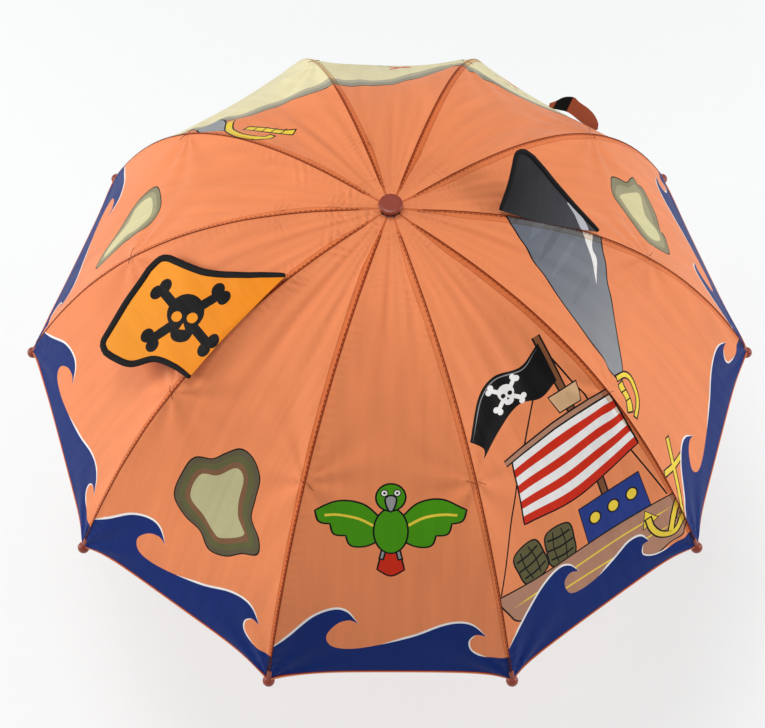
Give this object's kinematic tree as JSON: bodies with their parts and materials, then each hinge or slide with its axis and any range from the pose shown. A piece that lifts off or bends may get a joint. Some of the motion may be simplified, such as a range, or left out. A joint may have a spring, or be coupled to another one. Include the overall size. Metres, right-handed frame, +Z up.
{
  "type": "umbrella",
  "caption": "Child's stick umbrella with a deep printed canopy, folding ribs and stretchers on a sliding runner, round rib tips and a crook handle.",
  "frame": {"origin": "middle of the hand grip, on the shaft's axis", "axes": "+Z up the shaft to the crown, +X towards the crook's open arm, -Y between the two front ribs"},
  "size_m": [0.711, 0.6768, 0.6538],
  "materials": {
    "nylon_orange": "thin coated woven nylon, orange, printed",
    "flag_cloth": "woven polyester, yellow-orange, black binding",
    "blade_cloth": "woven polyester, dark grey, black binding",
    "brown_plastic": "moulded, reddish brown, semi-gloss",
    "rib_steel": "black painted steel",
    "bright_steel": "plated steel tube"
  },
  "bodies": {
    "root": {"shaft": "bright_steel", "handle": "brown_plastic", "crown_notch": "brown_plastic", "ferrule_cap": "brown_plastic"},
    "runner": {"runner": "brown_plastic"},
    "catch_top": {"catch_top": "bright_steel"},
    "catch_bottom": {"catch_bottom": "bright_steel"},
    "rib_upper_01": {"rib_upper_01": "rib_steel"},
    "rib_lower_01": {"rib_lower_01": "rib_steel"},
    "stretcher_01": {"stretcher_01": "rib_steel"},
    "gore_upper_01": {"gore_upper_01": "nylon_orange"},
    "gore_lower_01": {"gore_lower_01": "nylon_orange"},
    "rib_upper_02": {"rib_upper_02": "rib_steel"},
    "rib_lower_02": {"rib_lower_02": "rib_steel"},
    "stretcher_02": {"stretcher_02": "rib_steel"},
    "gore_upper_02": {"gore_upper_02": "nylon_orange"},
    "gore_lower_02": {"gore_lower_02": "nylon_orange"},
    "rib_upper_03": {"rib_upper_03": "rib_steel"},
    "rib_lower_03": {"rib_lower_03": "rib_steel"},
    "stretcher_03": {"stretcher_03": "rib_steel"},
    "gore_upper_03": {"gore_upper_03": "nylon_orange"},
    "gore_lower_03": {"gore_lower_03": "nylon_orange"},
    "rib_upper_04": {"rib_upper_04": "rib_steel", "sword_tip": "blade_cloth"},
    "rib_lower_04": {"rib_lower_04": "rib_steel"},
    "stretcher_04": {"stretcher_04": "rib_steel"},
    "gore_upper_04": {"gore_upper_04": "nylon_orange"},
    "gore_lower_04": {"gore_lower_04": "nylon_orange"},
    "rib_upper_05": {"rib_upper_05": "rib_steel"},
    "rib_lower_05": {"rib_lower_05": "rib_steel"},
    "stretcher_05": {"stretcher_05": "rib_steel"},
    "gore_upper_05": {"gore_upper_05": "nylon_orange"},
    "gore_lower_05": {"gore_lower_05": "nylon_orange", "strap": "nylon_orange"},
    "rib_upper_06": {"rib_upper_06": "rib_steel"},
    "rib_lower_06": {"rib_lower_06": "rib_steel"},
    "stretcher_06": {"stretcher_06": "rib_steel"},
    "gore_upper_06": {"gore_upper_06": "nylon_orange"},
    "gore_lower_06": {"gore_lower_06": "nylon_orange"},
    "rib_upper_07": {"rib_upper_07": "rib_steel"},
    "rib_lower_07": {"rib_lower_07": "rib_steel"},
    "stretcher_07": {"stretcher_07": "rib_steel"},
    "gore_upper_07": {"gore_upper_07": "nylon_orange"},
    "gore_lower_07": {"gore_lower_07": "nylon_orange"},
    "rib_upper_08": {"rib_upper_08": "rib_steel"},
    "rib_lower_08": {"rib_lower_08": "rib_steel"},
    "stretcher_08": {"stretcher_08": "rib_steel"},
    "gore_upper_08": {"gore_upper_08": "nylon_orange"},
    "gore_lower_08": {"gore_lower_08": "nylon_orange"},
    "rib_upper_09": {"rib_upper_09": "rib_steel"},
    "rib_lower_09": {"rib_lower_09": "rib_steel"},
    "stretcher_09": {"stretcher_09": "rib_steel"},
    "gore_upper_09": {"gore_upper_09": "nylon_orange"},
    "gore_lower_09": {"gore_lower_09": "nylon_orange"},
    "rib_upper_10": {"rib_upper_10": "rib_steel", "flag": "flag_cloth"},
    "rib_lower_10": {"rib_lower_10": "rib_steel"},
    "stretcher_10": {"stretcher_10": "rib_steel"},
    "gore_upper_10": {"gore_upper_10": "nylon_orange"},
    "gore_lower_10": {"gore_lower_10": "nylon_orange"}
  },
  "joints": [
    {"name": "runner_slide", "type": "slide", "parent": "root", "child": "runner", "axis": [0, 0, -1], "range_m": [0, 0.3042]},
    {"name": "catch_top_press", "type": "slide", "parent": "root", "child": "catch_top", "axis": [0, 1, 0], "range_m": [0, 0.0038], "stiffness_N_per_m": 300, "springref_m": -0.002},
    {"name": "catch_bottom_press", "type": "slide", "parent": "root", "child": "catch_bottom", "axis": [0, 1, 0], "range_m": [0, 0.0038], "stiffness_N_per_m": 300, "springref_m": -0.002},
    {"name": "rib_01_hinge", "type": "hinge", "parent": "root", "child": "rib_upper_01", "pos_m": [-0.00278, -0.00856, 0.56], "axis": [0.9511, -0.309, 0], "range_deg": [0, 66.46]},
    {"name": "rib_01_flex", "type": "hinge", "parent": "rib_upper_01", "child": "rib_lower_01", "pos_m": [-0.07091, -0.21823, 0.48314], "axis": [0.9511, -0.309, 0], "range_deg": [-33.09, 0]},
    {"name": "stretcher_01_hinge", "type": "hinge", "parent": "rib_upper_01", "child": "stretcher_01", "pos_m": [-0.07016, -0.21594, 0.48047], "axis": [0.9511, -0.309, 0], "range_deg": [-132.92, 0]},
    {"name": "gore_01_fold", "type": "hinge", "parent": "root", "child": "gore_upper_01", "pos_m": [0, -0.00856, 0.56], "axis": [1, 0, 0], "range_deg": [0, 65.76], "deforming": ["gore_upper_01"]},
    {"name": "gore_01_hem_fold", "type": "hinge", "parent": "gore_upper_01", "child": "gore_lower_01", "pos_m": [0, -0.21823, 0.48314], "axis": [1, 0, 0], "range_deg": [-33.65, 0], "deforming": ["gore_lower_01"]},
    {"name": "rib_02_hinge", "type": "hinge", "parent": "root", "child": "rib_upper_02", "pos_m": [0.00278, -0.00856, 0.56], "axis": [0.9511, 0.309, 0], "range_deg": [0, 66.46]},
    {"name": "rib_02_flex", "type": "hinge", "parent": "rib_upper_02", "child": "rib_lower_02", "pos_m": [0.07091, -0.21823, 0.48314], "axis": [0.9511, 0.309, 0], "range_deg": [-33.09, 0]},
    {"name": "stretcher_02_hinge", "type": "hinge", "parent": "rib_upper_02", "child": "stretcher_02", "pos_m": [0.07016, -0.21594, 0.48047], "axis": [0.9511, 0.309, 0], "range_deg": [-132.92, 0]},
    {"name": "gore_02_fold", "type": "hinge", "parent": "root", "child": "gore_upper_02", "pos_m": [0.00503, -0.00692, 0.56], "axis": [0.809, 0.5878, 0], "range_deg": [0, 65.76], "deforming": ["gore_upper_02"]},
    {"name": "gore_02_hem_fold", "type": "hinge", "parent": "gore_upper_02", "child": "gore_lower_02", "pos_m": [0.12827, -0.17655, 0.48314], "axis": [0.809, 0.5878, 0], "range_deg": [-33.65, 0], "deforming": ["gore_lower_02"]},
    {"name": "rib_03_hinge", "type": "hinge", "parent": "root", "child": "rib_upper_03", "pos_m": [0.00728, -0.00529, 0.56], "axis": [0.5878, 0.809, 0], "range_deg": [0, 66.46]},
    {"name": "rib_03_flex", "type": "hinge", "parent": "rib_upper_03", "child": "rib_lower_03", "pos_m": [0.18564, -0.13488, 0.48314], "axis": [0.5878, 0.809, 0], "range_deg": [-33.09, 0]},
    {"name": "stretcher_03_hinge", "type": "hinge", "parent": "rib_upper_03", "child": "stretcher_03", "pos_m": [0.18369, -0.13346, 0.48047], "axis": [0.5878, 0.809, 0], "range_deg": [-132.92, 0]},
    {"name": "gore_03_fold", "type": "hinge", "parent": "root", "child": "gore_upper_03", "pos_m": [0.00814, -0.00265, 0.56], "axis": [0.309, 0.9511, 0], "range_deg": [0, 65.76], "deforming": ["gore_upper_03"]},
    {"name": "gore_03_hem_fold", "type": "hinge", "parent": "gore_upper_03", "child": "gore_lower_03", "pos_m": [0.20755, -0.06744, 0.48314], "axis": [0.309, 0.9511, 0], "range_deg": [-33.65, 0], "deforming": ["gore_lower_03"]},
    {"name": "rib_04_hinge", "type": "hinge", "parent": "root", "child": "rib_upper_04", "pos_m": [0.009, 0, 0.56], "axis": [0, 1, 0], "range_deg": [0, 66.46]},
    {"name": "rib_04_flex", "type": "hinge", "parent": "rib_upper_04", "child": "rib_lower_04", "pos_m": [0.22946, 0, 0.48314], "axis": [0, 1, 0], "range_deg": [-33.09, 0]},
    {"name": "stretcher_04_hinge", "type": "hinge", "parent": "rib_upper_04", "child": "stretcher_04", "pos_m": [0.22705, 0, 0.48047], "axis": [0, 1, 0], "range_deg": [-132.92, 0]},
    {"name": "gore_04_fold", "type": "hinge", "parent": "root", "child": "gore_upper_04", "pos_m": [0.00814, 0.00265, 0.56], "axis": [-0.309, 0.9511, 0], "range_deg": [0, 65.76], "deforming": ["gore_upper_04"]},
    {"name": "gore_04_hem_fold", "type": "hinge", "parent": "gore_upper_04", "child": "gore_lower_04", "pos_m": [0.20755, 0.06744, 0.48314], "axis": [-0.309, 0.9511, 0], "range_deg": [-33.65, 0], "deforming": ["gore_lower_04"]},
    {"name": "rib_05_hinge", "type": "hinge", "parent": "root", "child": "rib_upper_05", "pos_m": [0.00728, 0.00529, 0.56], "axis": [-0.5878, 0.809, 0], "range_deg": [0, 66.46]},
    {"name": "rib_05_flex", "type": "hinge", "parent": "rib_upper_05", "child": "rib_lower_05", "pos_m": [0.18564, 0.13488, 0.48314], "axis": [-0.5878, 0.809, 0], "range_deg": [-33.09, 0]},
    {"name": "stretcher_05_hinge", "type": "hinge", "parent": "rib_upper_05", "child": "stretcher_05", "pos_m": [0.18369, 0.13346, 0.48047], "axis": [-0.5878, 0.809, 0], "range_deg": [-132.92, 0]},
    {"name": "gore_05_fold", "type": "hinge", "parent": "root", "child": "gore_upper_05", "pos_m": [0.00503, 0.00692, 0.56], "axis": [-0.809, 0.5878, 0], "range_deg": [0, 65.76], "deforming": ["gore_upper_05"]},
    {"name": "gore_05_hem_fold", "type": "hinge", "parent": "gore_upper_05", "child": "gore_lower_05", "pos_m": [0.12827, 0.17655, 0.48314], "axis": [-0.809, 0.5878, 0], "range_deg": [-33.65, 0], "deforming": ["gore_lower_05", "strap"]},
    {"name": "rib_06_hinge", "type": "hinge", "parent": "root", "child": "rib_upper_06", "pos_m": [0.00278, 0.00856, 0.56], "axis": [-0.9511, 0.309, 0], "range_deg": [0, 66.46]},
    {"name": "rib_06_flex", "type": "hinge", "parent": "rib_upper_06", "child": "rib_lower_06", "pos_m": [0.07091, 0.21823, 0.48314], "axis": [-0.9511, 0.309, 0], "range_deg": [-33.09, 0]},
    {"name": "stretcher_06_hinge", "type": "hinge", "parent": "rib_upper_06", "child": "stretcher_06", "pos_m": [0.07016, 0.21594, 0.48047], "axis": [-0.9511, 0.309, 0], "range_deg": [-132.92, 0]},
    {"name": "gore_06_fold", "type": "hinge", "parent": "root", "child": "gore_upper_06", "pos_m": [0, 0.00856, 0.56], "axis": [-1, 0, 0], "range_deg": [0, 65.76], "deforming": ["gore_upper_06"]},
    {"name": "gore_06_hem_fold", "type": "hinge", "parent": "gore_upper_06", "child": "gore_lower_06", "pos_m": [0, 0.21823, 0.48314], "axis": [-1, 0, 0], "range_deg": [-33.65, 0], "deforming": ["gore_lower_06"]},
    {"name": "rib_07_hinge", "type": "hinge", "parent": "root", "child": "rib_upper_07", "pos_m": [-0.00278, 0.00856, 0.56], "axis": [-0.9511, -0.309, 0], "range_deg": [0, 66.46]},
    {"name": "rib_07_flex", "type": "hinge", "parent": "rib_upper_07", "child": "rib_lower_07", "pos_m": [-0.07091, 0.21823, 0.48314], "axis": [-0.9511, -0.309, 0], "range_deg": [-33.09, 0]},
    {"name": "stretcher_07_hinge", "type": "hinge", "parent": "rib_upper_07", "child": "stretcher_07", "pos_m": [-0.07016, 0.21594, 0.48047], "axis": [-0.9511, -0.309, 0], "range_deg": [-132.92, 0]},
    {"name": "gore_07_fold", "type": "hinge", "parent": "root", "child": "gore_upper_07", "pos_m": [-0.00503, 0.00692, 0.56], "axis": [-0.809, -0.5878, 0], "range_deg": [0, 65.76], "deforming": ["gore_upper_07"]},
    {"name": "gore_07_hem_fold", "type": "hinge", "parent": "gore_upper_07", "child": "gore_lower_07", "pos_m": [-0.12827, 0.17655, 0.48314], "axis": [-0.809, -0.5878, 0], "range_deg": [-33.65, 0], "deforming": ["gore_lower_07"]},
    {"name": "rib_08_hinge", "type": "hinge", "parent": "root", "child": "rib_upper_08", "pos_m": [-0.00728, 0.00529, 0.56], "axis": [-0.5878, -0.809, 0], "range_deg": [0, 66.46]},
    {"name": "rib_08_flex", "type": "hinge", "parent": "rib_upper_08", "child": "rib_lower_08", "pos_m": [-0.18564, 0.13488, 0.48314], "axis": [-0.5878, -0.809, 0], "range_deg": [-33.09, 0]},
    {"name": "stretcher_08_hinge", "type": "hinge", "parent": "rib_upper_08", "child": "stretcher_08", "pos_m": [-0.18369, 0.13346, 0.48047], "axis": [-0.5878, -0.809, 0], "range_deg": [-132.92, 0]},
    {"name": "gore_08_fold", "type": "hinge", "parent": "root", "child": "gore_upper_08", "pos_m": [-0.00814, 0.00265, 0.56], "axis": [-0.309, -0.9511, 0], "range_deg": [0, 65.76], "deforming": ["gore_upper_08"]},
    {"name": "gore_08_hem_fold", "type": "hinge", "parent": "gore_upper_08", "child": "gore_lower_08", "pos_m": [-0.20755, 0.06744, 0.48314], "axis": [-0.309, -0.9511, 0], "range_deg": [-33.65, 0], "deforming": ["gore_lower_08"]},
    {"name": "rib_09_hinge", "type": "hinge", "parent": "root", "child": "rib_upper_09", "pos_m": [-0.009, 0, 0.56], "axis": [0, -1, 0], "range_deg": [0, 66.46]},
    {"name": "rib_09_flex", "type": "hinge", "parent": "rib_upper_09", "child": "rib_lower_09", "pos_m": [-0.22946, 0, 0.48314], "axis": [0, -1, 0], "range_deg": [-33.09, 0]},
    {"name": "stretcher_09_hinge", "type": "hinge", "parent": "rib_upper_09", "child": "stretcher_09", "pos_m": [-0.22705, 0, 0.48047], "axis": [0, -1, 0], "range_deg": [-132.92, 0]},
    {"name": "gore_09_fold", "type": "hinge", "parent": "root", "child": "gore_upper_09", "pos_m": [-0.00814, -0.00265, 0.56], "axis": [0.309, -0.9511, 0], "range_deg": [0, 65.76], "deforming": ["gore_upper_09"]},
    {"name": "gore_09_hem_fold", "type": "hinge", "parent": "gore_upper_09", "child": "gore_lower_09", "pos_m": [-0.20755, -0.06744, 0.48314], "axis": [0.309, -0.9511, 0], "range_deg": [-33.65, 0], "deforming": ["gore_lower_09"]},
    {"name": "rib_10_hinge", "type": "hinge", "parent": "root", "child": "rib_upper_10", "pos_m": [-0.00728, -0.00529, 0.56], "axis": [0.5878, -0.809, 0], "range_deg": [0, 66.46]},
    {"name": "rib_10_flex", "type": "hinge", "parent": "rib_upper_10", "child": "rib_lower_10", "pos_m": [-0.18564, -0.13488, 0.48314], "axis": [0.5878, -0.809, 0], "range_deg": [-33.09, 0]},
    {"name": "stretcher_10_hinge", "type": "hinge", "parent": "rib_upper_10", "child": "stretcher_10", "pos_m": [-0.18369, -0.13346, 0.48047], "axis": [0.5878, -0.809, 0], "range_deg": [-132.92, 0]},
    {"name": "gore_10_fold", "type": "hinge", "parent": "root", "child": "gore_upper_10", "pos_m": [-0.00503, -0.00692, 0.56], "axis": [0.809, -0.5878, 0], "range_deg": [0, 65.76], "deforming": ["gore_upper_10"]},
    {"name": "gore_10_hem_fold", "type": "hinge", "parent": "gore_upper_10", "child": "gore_lower_10", "pos_m": [-0.12827, -0.17655, 0.48314], "axis": [0.809, -0.5878, 0], "range_deg": [-33.65, 0], "deforming": ["gore_lower_10"]}
  ],
  "couplings": [
    {"joint": "rib_01_hinge", "follows": "runner_slide", "rad_per_m": 3.8131},
    {"joint": "rib_01_flex", "follows": "runner_slide", "rad_per_m": -1.8985},
    {"joint": "stretcher_01_hinge", "follows": "runner_slide", "rad_per_m": -7.6262},
    {"joint": "gore_01_fold", "follows": "runner_slide", "rad_per_m": 3.7729},
    {"joint": "gore_01_hem_fold", "follows": "runner_slide", "rad_per_m": -1.9306},
    {"joint": "rib_02_hinge", "follows": "runner_slide", "rad_per_m": 3.8131},
    {"joint": "rib_02_flex", "follows": "runner_slide", "rad_per_m": -1.8985},
    {"joint": "stretcher_02_hinge", "follows": "runner_slide", "rad_per_m": -7.6262},
    {"joint": "gore_02_fold", "follows": "runner_slide", "rad_per_m": 3.7729},
    {"joint": "gore_02_hem_fold", "follows": "runner_slide", "rad_per_m": -1.9306},
    {"joint": "rib_03_hinge", "follows": "runner_slide", "rad_per_m": 3.8131},
    {"joint": "rib_03_flex", "follows": "runner_slide", "rad_per_m": -1.8985},
    {"joint": "stretcher_03_hinge", "follows": "runner_slide", "rad_per_m": -7.6262},
    {"joint": "gore_03_fold", "follows": "runner_slide", "rad_per_m": 3.7729},
    {"joint": "gore_03_hem_fold", "follows": "runner_slide", "rad_per_m": -1.9306},
    {"joint": "rib_04_hinge", "follows": "runner_slide", "rad_per_m": 3.8131},
    {"joint": "rib_04_flex", "follows": "runner_slide", "rad_per_m": -1.8985},
    {"joint": "stretcher_04_hinge", "follows": "runner_slide", "rad_per_m": -7.6262},
    {"joint": "gore_04_fold", "follows": "runner_slide", "rad_per_m": 3.7729},
    {"joint": "gore_04_hem_fold", "follows": "runner_slide", "rad_per_m": -1.9306},
    {"joint": "rib_05_hinge", "follows": "runner_slide", "rad_per_m": 3.8131},
    {"joint": "rib_05_flex", "follows": "runner_slide", "rad_per_m": -1.8985},
    {"joint": "stretcher_05_hinge", "follows": "runner_slide", "rad_per_m": -7.6262},
    {"joint": "gore_05_fold", "follows": "runner_slide", "rad_per_m": 3.7729},
    {"joint": "gore_05_hem_fold", "follows": "runner_slide", "rad_per_m": -1.9306},
    {"joint": "rib_06_hinge", "follows": "runner_slide", "rad_per_m": 3.8131},
    {"joint": "rib_06_flex", "follows": "runner_slide", "rad_per_m": -1.8985},
    {"joint": "stretcher_06_hinge", "follows": "runner_slide", "rad_per_m": -7.6262},
    {"joint": "gore_06_fold", "follows": "runner_slide", "rad_per_m": 3.7729},
    {"joint": "gore_06_hem_fold", "follows": "runner_slide", "rad_per_m": -1.9306},
    {"joint": "rib_07_hinge", "follows": "runner_slide", "rad_per_m": 3.8131},
    {"joint": "rib_07_flex", "follows": "runner_slide", "rad_per_m": -1.8985},
    {"joint": "stretcher_07_hinge", "follows": "runner_slide", "rad_per_m": -7.6262},
    {"joint": "gore_07_fold", "follows": "runner_slide", "rad_per_m": 3.7729},
    {"joint": "gore_07_hem_fold", "follows": "runner_slide", "rad_per_m": -1.9306},
    {"joint": "rib_08_hinge", "follows": "runner_slide", "rad_per_m": 3.8131},
    {"joint": "rib_08_flex", "follows": "runner_slide", "rad_per_m": -1.8985},
    {"joint": "stretcher_08_hinge", "follows": "runner_slide", "rad_per_m": -7.6262},
    {"joint": "gore_08_fold", "follows": "runner_slide", "rad_per_m": 3.7729},
    {"joint": "gore_08_hem_fold", "follows": "runner_slide", "rad_per_m": -1.9306},
    {"joint": "rib_09_hinge", "follows": "runner_slide", "rad_per_m": 3.8131},
    {"joint": "rib_09_flex", "follows": "runner_slide", "rad_per_m": -1.8985},
    {"joint": "stretcher_09_hinge", "follows": "runner_slide", "rad_per_m": -7.6262},
    {"joint": "gore_09_fold", "follows": "runner_slide", "rad_per_m": 3.7729},
    {"joint": "gore_09_hem_fold", "follows": "runner_slide", "rad_per_m": -1.9306},
    {"joint": "rib_10_hinge", "follows": "runner_slide", "rad_per_m": 3.8131},
    {"joint": "rib_10_flex", "follows": "runner_slide", "rad_per_m": -1.8985},
    {"joint": "stretcher_10_hinge", "follows": "runner_slide", "rad_per_m": -7.6262},
    {"joint": "gore_10_fold", "follows": "runner_slide", "rad_per_m": 3.7729},
    {"joint": "gore_10_hem_fold", "follows": "runner_slide", "rad_per_m": -1.9306}
  ]
}
